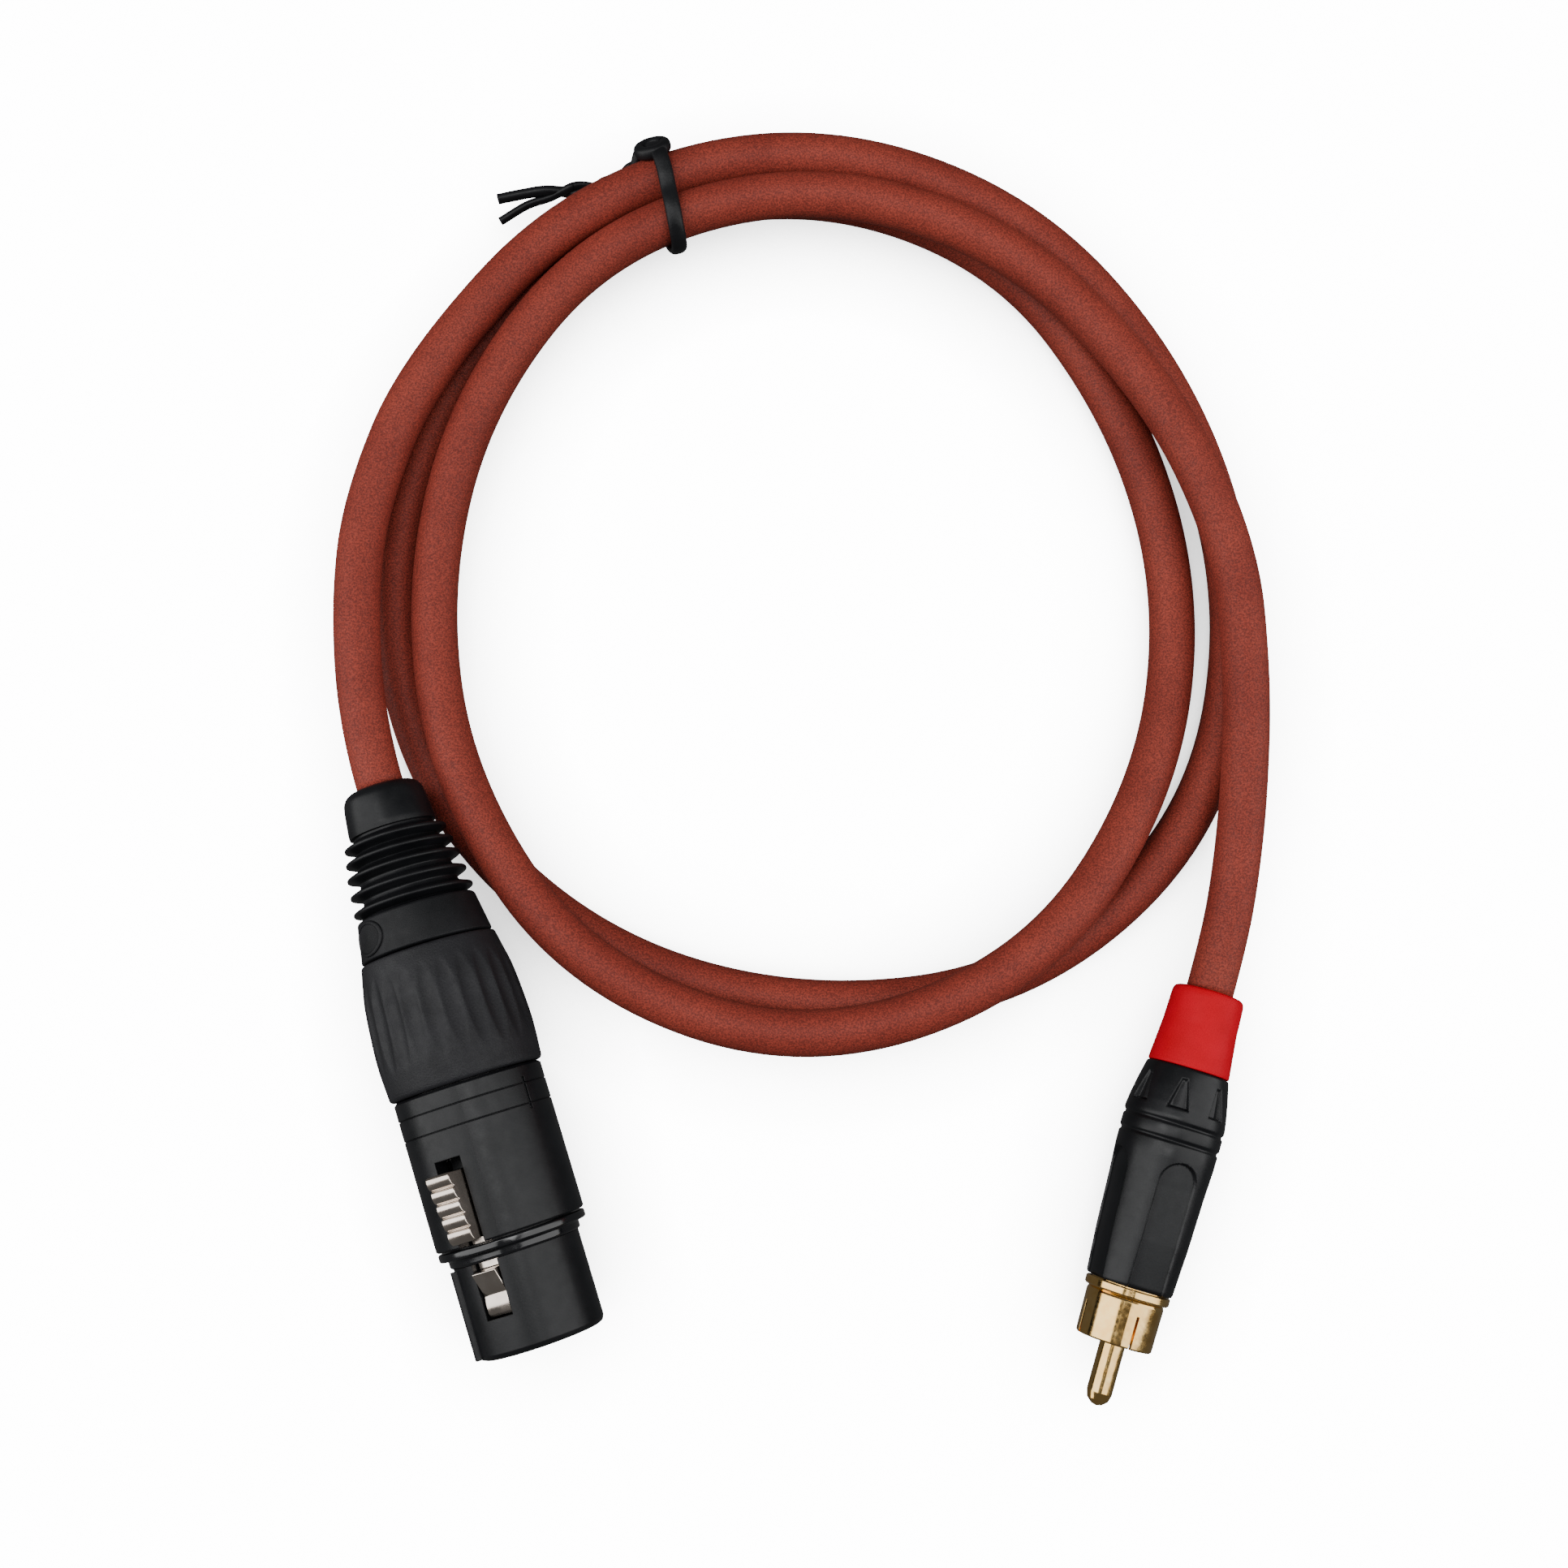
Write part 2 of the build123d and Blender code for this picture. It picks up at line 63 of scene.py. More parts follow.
def make_camera():
    data = bpy.data.cameras.new("camera")
    data.lens = CAMERA_LENS
    data.sensor_width = 36.0
    data.clip_start = 0.01
    camera = bpy.data.objects.new("camera", data)
    camera.location = Vector(CAMERA_AT) * MM
    camera.rotation_euler = (math.radians(CAMERA_TILT), 0, 0)
    bpy.context.scene.collection.objects.link(camera)
    bpy.context.scene.camera = camera


make_camera()

# ---------------------------------------------------------------- cable

CABLE_D = 6.0
COIL_X = 1.1
COIL_Y = 64.6

# The stretches that aren't coiled, in metres: from the XLR boot, and to the RCA collar
FROM_XLR = [
    (-0.05261, 0.03771, 0.0100),
    (-0.05535, 0.04628, 0.0100),
    (-0.0568, 0.0625, 0.0097),
    (-0.0558, 0.0760, 0.0090),
]
TO_RCA = [
    (0.0576, 0.0700, 0.0093),
    (0.0587, 0.0520, 0.0092),
    (0.0580, 0.0375, 0.0083),
    (0.0568, 0.0268, 0.0071),
    (0.05521, 0.01861, 0.0064),
    (0.05315, 0.01192, 0.0064),
]

# The turns, clockwise: the centreline's radius and height in millimetres at each clock hour.
# All but three of the radii are the result of a least-squares fit, made outside this script.
# The heights are given.
FIRST_HOUR = 10
TURNS = [
    (56.1, 9.2), (58.3, 9.7), (59.5, 8.6),
    (58.1, 7.1), (56.2, 4.2), (57.1, 3.0), (59.2, 3.0), (57.5, 3.0), (53.4, 3.0),
    (52.8, 3.0), (53.7, 3.0), (53.8, 3.0), (54.4, 3.5), (55.6, 4.4), (56.0, 3.4),
    (53.8, 3.0), (49.0, 3.0), (48.8, 3.0), (51.4, 5.6), (56.4, 9.6), (58.4, 8.4),
    (55.7, 9.4), (50.1, 8.9), (47.5, 6.8), (48.6, 8.4), (52.2, 9.7), (53.3, 9.8),
    (52.8, 9.9), (52.2, 9.5),
]
# A quadratic spline through hourly control points runs this much inside them
CONTROL_OUTSET = 1.035


def coil_points():
    """One control point per clock hour, in metres."""
    points = []
    for step, (radius, height) in enumerate(TURNS):
        angle = math.radians(30 * (FIRST_HOUR + step))
        x = COIL_X + radius * CONTROL_OUTSET * math.sin(angle)
        y = COIL_Y + radius * CONTROL_OUTSET * math.cos(angle)
        points.append((x * MM, y * MM, height * MM))
    return points


def link(name, data, body="root"):
    piece = bpy.data.objects.new(name, data)
    bpy.context.scene.collection.objects.link(piece)
    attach(piece, body)
    return piece


# How far apart the ends of a cord's tube and its caps may be and still be joined
CAP_REACH = 1e-6


def cord_curve(name, points, diameter, body="root"):
    """A round cord along one smooth spline with these control points.

    The cord's radius is set on the points, because a curve's box grows by its points' radii.
    """
    curve = bpy.data.curves.new(name, "CURVE")
    curve.dimensions = "3D"
    curve.bevel_depth = 1.0
    curve.bevel_resolution = 10
    curve.resolution_u = 16
    curve.use_fill_caps = True
    spline = curve.splines.new("NURBS")
    spline.points.add(len(points) - 1)
    for target, point in zip(spline.points, points):
        target.co = (*point, 1.0)
        target.radius = diameter / 2
    spline.order_u = 3
    spline.use_endpoint_u = True
    spline.use_smooth = True
    cord = link(name, curve, body)
    weld = cord.modifiers.new("weld", "WELD")
    weld.merge_threshold = CAP_REACH
    return cord


cable = cord_curve("cable", FROM_XLR + coil_points() + TO_RCA, CABLE_D * MM)
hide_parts("cable_coil", "cable_tail_xlr", "cable_tail_rca")

# ---------------------------------------------------------------- materials


def graph(name):
    """A new material, its node tree, its shader, and coordinates fixed to the object."""
    material = bpy.data.materials.new(name)
    material.use_nodes = True
    tree = material.node_tree
    shader = tree.nodes["Principled BSDF"]
    place = tree.nodes.new("ShaderNodeTexCoord").outputs["Object"]
    return material, tree, shader, place


def noise(tree, place, size, detail=2.0, stretch=None):
    """Noise whose features are about this many millimetres wide, drawn out along one axis if asked."""
    if stretch:
        mapping = tree.nodes.new("ShaderNodeMapping")
        mapping.inputs["Rotation"].default_value = (0, 0, math.radians(-stretch[0]))
        mapping.inputs["Scale"].default_value = (1, 1 / stretch[1], 1)
        tree.links.new(place, mapping.inputs["Vector"])
        place = mapping.outputs["Vector"]
    texture = tree.nodes.new("ShaderNodeTexNoise")
    texture.inputs["Scale"].default_value = 1 / (size * MM)
    texture.inputs["Detail"].default_value = detail
    tree.links.new(place, texture.inputs["Vector"])
    return texture.outputs["Fac"]


def ramp(tree, factor, low, high, start=0.3, end=0.7):
    node = tree.nodes.new("ShaderNodeValToRGB")
    node.color_ramp.elements[0].position = start
    node.color_ramp.elements[0].color = (*low, 1)
    node.color_ramp.elements[1].position = end
    node.color_ramp.elements[1].color = (*high, 1)
    tree.links.new(factor, node.inputs["Fac"])
    return node.outputs["Color"]


def spread(tree, factor, low, high):
    node = tree.nodes.new("ShaderNodeMapRange")
    node.inputs["From Min"].default_value = 0.3
    node.inputs["From Max"].default_value = 0.7
    node.inputs["To Min"].default_value = low
    node.inputs["To Max"].default_value = high
    tree.links.new(factor, node.inputs["Value"])
    return node.outputs["Result"]


def edge_normal(tree, radius):
    """Worn edges: the normal turns over this many millimetres at each sharp edge."""
    node = tree.nodes.new("ShaderNodeBevel")
    node.samples = 4
    node.inputs["Radius"].default_value = radius * MM
    return node.outputs["Normal"]


def bump(tree, height, depth, strength=1.0, normal=None):
    """A bump this many millimetres deep."""
    node = tree.nodes.new("ShaderNodeBump")
    node.inputs["Strength"].default_value = strength
    node.inputs["Distance"].default_value = depth * MM
    tree.links.new(height, node.inputs["Height"])
    if normal:
        tree.links.new(normal, node.inputs["Normal"])
    return node.outputs["Normal"]


def moulded(
    name, low, high, rough, grain, depth, mottle=4.0, edge=0.0, metallic=0.0, stretch=None, shine=0.5
):
    """A finish with mottled colour between two values, uneven roughness and a fine grain."""
    material, tree, shader, place = graph(name)
    shader.inputs["Metallic"].default_value = metallic
    shader.inputs["Specular IOR Level"].default_value = shine
    tree.links.new(ramp(tree, noise(tree, place, mottle, 3.0), low, high), shader.inputs["Base Color"])
    tree.links.new(spread(tree, noise(tree, place, mottle / 3), *rough), shader.inputs["Roughness"])
    normal = edge_normal(tree, edge) if edge else None
    grain_height = noise(tree, place, grain, 2.0, stretch)
    tree.links.new(bump(tree, grain_height, depth, 1.0, normal), shader.inputs["Normal"])
    return material


JACKET_DARK = (0.235, 0.036, 0.024)
JACKET_LIGHT = (0.31, 0.052, 0.034)


def cable_jacket():
    """Brick-red matte PVC, sparkling with a very fine grain."""
    material, tree, shader, place = graph("cable_jacket")
    broad = ramp(tree, noise(tree, place, 9.0, 3.0), JACKET_DARK, JACKET_LIGHT)
    speck = ramp(tree, noise(tree, place, 0.22, 1.0), (0.62, 0.62, 0.66), (1.3, 1.2, 1.15), 0.36, 0.66)
    mix = tree.nodes.new("ShaderNodeMix")
    mix.data_type = "RGBA"
    mix.blend_type = "MULTIPLY"
    mix.inputs["Factor"].default_value = 1.0
    tree.links.new(broad, mix.inputs["A"])
    tree.links.new(speck, mix.inputs["B"])
    tree.links.new(mix.outputs["Result"], shader.inputs["Base Color"])
    shader.inputs["Specular IOR Level"].default_value = 0.25
    tree.links.new(spread(tree, noise(tree, place, 0.6), 0.55, 0.68), shader.inputs["Roughness"])
    tree.links.new(bump(tree, noise(tree, place, 0.16, 2.0), 0.03), shader.inputs["Normal"])
    return material


BLACK_LOW = (0.005, 0.0053, 0.0064)
BLACK_HIGH = (0.009, 0.0094, 0.011)
GREY_LOW = (0.011, 0.011, 0.013)
GREY_HIGH = (0.017, 0.017, 0.020)


def make_materials():
    """One material for each slot of the record."""
    return {
        "boot_rubber": moulded("boot_rubber", BLACK_LOW, BLACK_HIGH, (0.34, 0.44), 0.4, 0.006, shine=0.25),
        "ring_plastic": moulded("ring_plastic", BLACK_LOW, GREY_LOW, (0.5, 0.6), 0.16, 0.014, shine=0.25),
        "bushing_plastic": moulded(
            "bushing_plastic", GREY_LOW, GREY_HIGH, (0.5, 0.62), 0.22, 0.05, shine=0.3
        ),
        "clamp_plastic": moulded("clamp_plastic", GREY_LOW, GREY_HIGH, (0.5, 0.6), 0.2, 0.02, edge=0.1),
        "black_metal": moulded(
            "black_metal", BLACK_LOW, BLACK_HIGH, (0.3, 0.38), 0.25, 0.004, edge=0.14, shine=0.3
        ),
        "seal_rubber": moulded("seal_rubber", BLACK_LOW, BLACK_HIGH, (0.1, 0.18), 0.8, 0.006, shine=0.6),
        "insert_plastic": moulded("insert_plastic", BLACK_LOW, BLACK_HIGH, (0.45, 0.55), 0.2, 0.01, edge=0.1),
        "latch_nickel": moulded(
            "latch_nickel", (0.62, 0.53, 0.46), (0.8, 0.71, 0.63), (0.16, 0.26), 0.12, 0.003,
            metallic=1.0, stretch=(17.75, 12.0),
        ),
        "steel": moulded("steel", (0.45, 0.45, 0.46), (0.6, 0.6, 0.6), (0.3, 0.4), 0.15, 0.004, metallic=1.0),
        "screen_copper": moulded(
            "screen_copper", (0.7, 0.62, 0.55), (0.85, 0.78, 0.7), (0.3, 0.42), 0.2, 0.04, metallic=1.0
        ),
        "wire_white": moulded("wire_white", (0.7, 0.69, 0.66), (0.8, 0.79, 0.76), (0.4, 0.5), 0.4, 0.008),
        "wire_black": moulded("wire_black", BLACK_LOW, BLACK_HIGH, (0.4, 0.5), 0.4, 0.008),
        "gold": moulded(
            "gold", (0.87, 0.52, 0.16), (0.97, 0.66, 0.26), (0.08, 0.17), 0.7, 0.004, mottle=1.5,
            edge=0.1, metallic=1.0,
        ),
        "red_plastic": moulded(
            "red_plastic", (0.6, 0.0, 0.012), (0.7, 0.0, 0.018), (0.42, 0.5), 0.3, 0.008, shine=0.08
        ),
        "insulator_plastic": moulded(
            "insulator_plastic", (0.62, 0.61, 0.58), (0.74, 0.73, 0.7), (0.35, 0.45), 0.3, 0.006, edge=0.1
        ),
        "cable_jacket": cable_jacket(),
        "tie_pvc": moulded("tie_pvc", BLACK_LOW, BLACK_HIGH, (0.4, 0.52), 0.3, 0.02, shine=0.3),
    }


MATERIALS = make_materials()


def finish_piece(piece, slot):
    piece.data.materials.clear()
    piece.data.materials.append(MATERIALS[slot])


def dress_cad_nodes():
    """Each CAD node takes the material of its own slot."""
    for row in frame["record"]["subparts"]:
        node = frame["nodes"][row["node"]]
        node.data.materials.clear()
        node.data.materials.append(MATERIALS[row["material_slot"]])


dress_cad_nodes()
finish_piece(cable, "cable_jacket")

# ---------------------------------------------------------------- shapes


def seat(x, y, z, turn):
    """A connector's own frame in millimetres: Z along its axis, X upwards, Y to the left of its top."""
    along = Vector((math.sin(math.radians(turn)), -math.cos(math.radians(turn)), 0))
    up = Vector((0, 0, 1))
    matrix = Matrix((up, along.cross(up), along)).transposed().to_4x4()
    matrix.translation = Vector((x, y, z))
    return Matrix.Scale(MM, 4) @ matrix


XLR_SEAT = seat(-52.61, 37.71, 10.0, 17.75)
RCA_SEAT = seat(53.15, 11.92, 6.4, -17.1)
TIE_ANGLE = -19.0
TIE_SEAT = (
    Matrix.Scale(MM, 4)
    @ Matrix.Translation((COIL_X, COIL_Y, 0))
    @ Matrix.Rotation(math.radians(90 - TIE_ANGLE), 4, "Z")
)

SHARP_ANGLE = 38


def mesh_piece(name, vertices, faces, place, body, slot):
    """A welded mesh with outward normals, smooth but for its sharp edges."""
    mesh = bpy.data.meshes.new(name)
    mesh.from_pydata([place @ Vector(v) for v in vertices], [], faces)
    shape = bmesh.new()
    shape.from_mesh(mesh)
    bmesh.ops.remove_doubles(shape, verts=shape.verts, dist=1e-7)
    bmesh.ops.recalc_face_normals(shape, faces=shape.faces)
    shape.to_mesh(mesh)
    shape.free()
    mesh.shade_smooth()
    mesh.set_sharp_from_angle(angle=math.radians(SHARP_ANGLE))
    piece = link(name, mesh, body)
    finish_piece(piece, slot)
    return piece


def spline(points, count):
    """A smooth line through the points, with this many samples for each span."""
    points = [Vector(p) for p in points]
    padded = [2 * points[0] - points[1]] + points + [2 * points[-1] - points[-2]]
    result = []
    for a, b, c, d in zip(padded, padded[1:], padded[2:], padded[3:]):
        for i in range(count):
            s = i / count
            result.append(0.5 * (2 * b + (c - a) * s + (2 * a - 5 * b + 4 * c - d) * s**2
                                 + (3 * b - a - 3 * c + d) * s**3))
    return result + [points[-1]]


def eased(points, radius, count=4):
    """The same line with each corner rounded off."""
    points = [Vector(p) for p in points]
    result = [points[0]]
    for before, corner, after in zip(points, points[1:], points[2:]):
        reach = min(radius, 0.45 * (corner - before).length, 0.45 * (after - corner).length)
        start = corner + (before - corner).normalized() * reach
        end = corner + (after - corner).normalized() * reach
        for i in range(count + 1):
            s = i / count
            result.append(start * (1 - s) ** 2 + corner * 2 * s * (1 - s) + end * s**2)
    return result + [points[-1]]


def flat(points):
    return [(p[0], p[1]) for p in points]


def turned_piece(name, outline, bore, place, body, slot, segments=128, shape=None):
    """A hollow turned piece. The outline holds (t, radius); shape may change the radius at (angle, t)."""
    vertices = []
    faces = []
    rows = len(outline)
    for i in range(segments):
        angle = 2 * math.pi * i / segments
        for t, radius in outline:
            r = shape(math.degrees(angle), t, radius) if shape else radius
            vertices.append((r * math.cos(angle), r * math.sin(angle), t))
        for t, radius in outline:
            vertices.append((bore * math.cos(angle), bore * math.sin(angle), t))
    for i in range(segments):
        here = i * 2 * rows
        there = (i + 1) % segments * 2 * rows
        for j in range(rows - 1):
            faces.append((here + j, here + j + 1, there + j + 1, there + j))
            faces.append((here + rows + j, there + rows + j, there + rows + j + 1, here + rows + j + 1))
        for j in (0, rows - 1):
            faces.append((here + j, there + j, there + rows + j, here + rows + j))
    return mesh_piece(name, vertices, faces, place, body, slot)


# ---------------------------------------------------------------- XLR connector

# The cable bends behind the boot, so the bore leaves room for the boot to slide back over it
BOOT_BORE = 3.3
FIN_TS = [6.85, 8.7, 10.6, 12.8, 15.0]
FIN_RS = [6.6, 6.95, 7.3, 7.5, 7.7]


def xlr_boot():
    """The round cap, five thin fins with rounded rims, and the spigot under the ring."""
    cap = [(0, 3.55), (0, 4.0), (0.3, 4.6), (1.0, 5.1), (2.2, 5.3), (5.0, 5.6), (5.6, 5.55)]
    fins = []
    for t, radius in zip(FIN_TS, FIN_RS):
        fins += [(t - 0.8, radius - 1.5), (t - 0.2, radius), (t + 0.2, radius), (t + 0.8, radius - 1.45)]
    spigot = [(15.95, 6.75), (16.0, 6.0), (24.6, 6.0), (24.65, 6.8), (26.0, 6.8)]
    outline = eased(cap, 0.5) + eased([(5.7, 5.1)] + fins + spigot, 0.22)
    boot = turned_piece("xlr_boot_rubber", outline, BOOT_BORE, XLR_SEAT, "xlr_boot", "boot_rubber")
    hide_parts("xlr_boot")


RING_START = 16.3
RING_RADIUS = 7.6
RING_SLOPE = 0.8 / 4.9


def ring_radius(t):
    return RING_RADIUS + RING_SLOPE * (t - RING_START)


def xlr_ring():
    outline = [(16.05, 6.6), (16.05, 7.35), (RING_START, RING_RADIUS)]
    outline += [(21.15, ring_radius(21.15)), (21.35, 8.1)]
    ring = turned_piece("xlr_ring", eased(outline, 0.2), 6.02, XLR_SEAT, "xlr_boot", "ring_plastic")
    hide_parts("xlr_id_ring")


BADGE_ANGLE = 47.0
BADGE_T = 18.65
BADGE_HALF = (2.75, 2.2)
# The badge's height above the ring at shares of the way from its middle to its edge
BADGE_STEPS = [
    (0.02, 0.10), (0.74, 0.10), (0.80, 0.14), (0.84, 0.26), (0.94, 0.26), (0.99, 0.18), (1.02, -0.1),
]


def xlr_badge():
    """A plain oval badge with a raised rim, bent round the ring."""
    vertices = []
    faces = []
    count = 72
    for share, height in BADGE_STEPS:
        for i in range(count):
            turn = 2 * math.pi * i / count
            t = BADGE_T + BADGE_HALF[1] * share * math.sin(turn)
            radius = ring_radius(t) + height
            angle = math.radians(BADGE_ANGLE) + BADGE_HALF[0] * share * math.cos(turn) / ring_radius(t)
            vertices.append((radius * math.cos(angle), radius * math.sin(angle), t))
    for k in range(len(BADGE_STEPS) - 1):
        for i in range(count):
            j = (i + 1) % count
            faces.append((k * count + i, k * count + j, (k + 1) * count + j, (k + 1) * count + i))
    faces.append(tuple(range(count)))
    last = (len(BADGE_STEPS) - 1) * count
    faces.append(tuple(range(last + count - 1, last - 1, -1)))
    mesh_piece("xlr_badge", vertices, faces, XLR_SEAT, "xlr_boot", "ring_plastic")


FLUTES = 24
FLUTE_MIDDLE = 29.7
FLUTE_HALF = 6.1
FLUTE_DEPTH = 0.42
FLUTE_REACH = 1.2
BUSHING_LIP_R = 8.5


def flute_shape(angle, t, radius):
    """Shallow lens-shaped finger flutes, pointed at both ends."""
    share = (t - FLUTE_MIDDLE) / FLUTE_HALF
    if abs(share) >= 1 or radius < BUSHING_LIP_R:
        return radius
    pitch = 360 / FLUTES
    off = (angle + pitch / 2) % pitch - pitch / 2
    distance = math.radians(off) * radius
    depth = FLUTE_DEPTH * (1 - share**2) - FLUTE_DEPTH * (distance / FLUTE_REACH) ** 2
    return radius - max(0.0, depth)


def xlr_bushing():
    side = spline([(21.8, 8.66), (24.0, 9.1), (26.4, 9.55), (30.0, 9.86), (34.0, 10.0), (38.3, 9.78)], 8)
    outline = [(21.55, 7.5), (21.55, 8.4), (21.62, 8.56)] + [tuple(p) for p in flat(side)]
    outline += [(38.55, 9.7), (38.72, 9.55), (38.8, 9.3), (38.8, 8.6)]
    bushing = turned_piece(
        "xlr_bushing_grip", outline, 7.62, XLR_SEAT, "xlr_bushing", "bushing_plastic",
        FLUTES * 14, flute_shape,
    )
    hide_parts("xlr_bushing")


def xlr_seal():
    """The glossy rubber ring: a flange and a narrower step."""
    outline = [(58.1, 8.0), (58.1, 9.15), (58.25, 9.32), (58.95, 9.32), (59.12, 9.15), (59.16, 8.55)]
    outline += [(59.3, 8.3), (60.0, 8.3), (60.22, 8.1), (60.22, 7.9)]
    seal = turned_piece("xlr_seal", eased(outline, 0.12), 7.72, XLR_SEAT, "root", "seal_rubber")
    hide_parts("xlr_rubber_ring")


LATCH_ANGLE = 23.0
LATCH_WIDTH = 3.3
PAD_START = 48.75
PAD_END = 57.25
PAD_CRESTS = 5
PAD_HIGH = 12.6
PAD_LOW = 11.1
CREST_DEPTH = 0.5
CREST_ROUNDNESS = 0.45
CREST_STEPS = 9


def plate_piece(name, outline, width, body, slot, soften):
    """A side profile in (t, radius) with a width, in the latch's plane, with its edges rounded."""
    count = len(outline)
    vertices = [(r, side * width / 2, t) for side in (-1, 1) for t, r in outline]
    faces = [(i, (i + 1) % count, (i + 1) % count + count, i + count) for i in range(count)]
    faces.append(tuple(range(count)))
    faces.append(tuple(range(2 * count - 1, count - 1, -1)))
    place = XLR_SEAT @ Matrix.Rotation(math.radians(LATCH_ANGLE), 4, "Z")
    piece = mesh_piece(name, vertices, faces, place, body, slot)
    rounding = piece.modifiers.new("rounding", "BEVEL")
    rounding.width = soften * MM
    rounding.segments = 2
    rounding.limit_method = "ANGLE"
    rounding.angle_limit = math.radians(35)
    return piece


def pad_crests():
    """The press pad's top: rounded ridges with narrow valleys between them, falling to the nose."""
    points = []
    pitch = (PAD_END - PAD_START) / PAD_CRESTS
    for crest in range(PAD_CRESTS):
        for step in range(CREST_STEPS):
            share = step / CREST_STEPS
            t = PAD_START + (crest + share) * pitch
            top = PAD_HIGH - (PAD_HIGH - PAD_LOW) * (t - PAD_START) / (PAD_END - PAD_START)
            rise = math.sin(math.pi * share) ** CREST_ROUNDNESS
            points.append((t, top - CREST_DEPTH * (1 - rise)))
    return points


def xlr_latch():
    """The nickel press pad, arm and hook, and the eye round the pivot in dark metal as painted shade inside
    the slot.
    """
    pad = [(48.9, 6.3)] + pad_crests() + [(PAD_END + 0.1, 10.6), (57.1, 6.5), (61.1, 6.5), (61.3, 8.6)]
    pad += [(61.6, 8.5), (64.2, 7.2), (65.2, 7.42), (66.3, 7.45), (66.9, 7.1), (66.9, 5.4)]
    pad += [(60.0, 5.2), (49.0, 5.1)]
    latch = plate_piece("xlr_latch_plate", pad, LATCH_WIDTH, "latch", "latch_nickel", 0.1)
    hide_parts("xlr_latch")
    eye = [(47.4, 3.95), (46.6, 4.25), (46.35, 5.0), (46.65, 5.75), (47.4, 6.05), (48.9, 6.25)]
    eye += [(48.95, 5.15), (48.3, 4.25)]
    # The eye is part of the nickel latch; its dark metal is painted shade where it sits in the shell's slot
    plate_piece("xlr_latch_eye", eye, LATCH_WIDTH - 0.1, "latch", "black_metal", 0.1)


# ---------------------------------------------------------------- RCA plug


def smooth_step(value, width):
    share = min(max(value / width, 0.0), 1.0)
    return share * share * (3 - 2 * share)


BARREL_EDGE = 0.13
BARREL_LIP_T = 10.5
NOTCHES = 7
NOTCH_ANGLE = 11.0
NOTCH_APEX = 11.6
NOTCH_BASE = 15.5
NOTCH_HALF = 1.45
NOTCH_TIP = 0.3
NOTCH_EDGE = 0.3
NOTCH_TIP_DEPTH = 0.4
NOTCH_DEEPENING = 0.3
NOTCH_RIDGE = 0.2
NOTCH_RIDGE_HALF = 0.8
FLAT_COUNT = 4
FLAT_ANGLE = -14.0
FLAT_HALF = 2.6
FLAT_TOP = 24.4
FLAT_EDGE_DEPTH = 0.28
FLAT_MIDDLE_DEPTH = 0.3


def off_centre(angle, first, count):
    """Degrees from the nearest of count evenly spaced marks."""
    pitch = 360 / count
    return (angle - first + pitch / 2) % pitch - pitch / 2


def notch_depth(angle, t, radius):
    """Hollows that narrow to a blunt tip, with a low ridge along the middle."""
    side = abs(math.radians(off_centre(angle, NOTCH_ANGLE, NOTCHES)) * radius)
    share = (t - NOTCH_APEX) / (NOTCH_BASE - NOTCH_APEX)
    if not 0 < share < 1.1:
        return 0.0
    half = NOTCH_HALF * (NOTCH_TIP + (1 - NOTCH_TIP) * min(share, 1.0))
    inside = min(half - side, (NOTCH_BASE - t) + 0.1, (t - NOTCH_APEX) * 0.8)
    ridge = NOTCH_RIDGE * max(0.0, 1 - side / NOTCH_RIDGE_HALF)
    return smooth_step(inside, NOTCH_EDGE) * (NOTCH_TIP_DEPTH + NOTCH_DEEPENING * share - ridge)


def flat_depth(angle, t, radius):
    """Long shallow flats with arched ends, open at the front."""
    side = math.radians(off_centre(angle, FLAT_ANGLE, FLAT_COUNT)) * radius
    reach = abs(side) if t > FLAT_TOP else math.hypot(side, t - FLAT_TOP)
    inside = FLAT_HALF - reach
    crown = 1 - (side / FLAT_HALF) ** 2
    return smooth_step(inside, BARREL_EDGE) * (FLAT_EDGE_DEPTH + FLAT_MIDDLE_DEPTH * crown)


def barrel_shape(angle, t, radius):
    if t < BARREL_LIP_T:
        return radius
    return radius - notch_depth(angle, t, radius) - flat_depth(angle, t, radius)


BARREL_SIDE = [
    (10.25, 4.9), (10.3, 5.12), (10.5, 5.27), (11.5, 5.5), (12.9, 5.8), (15.1, 6.2), (16.5, 6.38),
    (16.95, 6.38),
    (17.2, 6.16), (17.45, 6.14), (17.65, 6.36), (19.1, 6.37), (19.35, 6.14), (19.6, 6.12), (19.8, 6.33),
    (21.5, 6.3), (25.0, 6.1), (32.0, 5.85), (37.7, 5.5), (38.0, 5.38), (38.1, 5.15),
]
BARREL_FINE = [(11.4, 16.0, 0.13), (21.6, 24.6, 0.13), (24.6, 38.0, 0.8)]


def finer(outline, stretches):
    """The outline with more points inside the stretches (from, to, step)."""
    marks = set(t for t, radius in outline)
    for start, end, step in stretches:
        count = int((end - start) / step)
        marks.update(round(start + k * step, 4) for k in range(count + 1))
    result = list(outline)
    for t in sorted(marks - set(t for t, radius in outline)):
        for (t0, r0), (t1, r1) in zip(outline, outline[1:]):
            if t0 < t < t1:
                result.append((t, r0 + (r1 - r0) * (t - t0) / (t1 - t0)))
    return sorted(result)


def rca_barrel():
    outline = finer(flat(eased(BARREL_SIDE, 0.12, 2)), BARREL_FINE)
    barrel = turned_piece(
        "rca_barrel_shell", outline, 4.82, RCA_SEAT, "rca_barrel", "black_metal", 504, barrel_shape
    )
    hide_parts("rca_barrel")


# The cable bends behind the collar too
COLLAR_BORE = 3.15


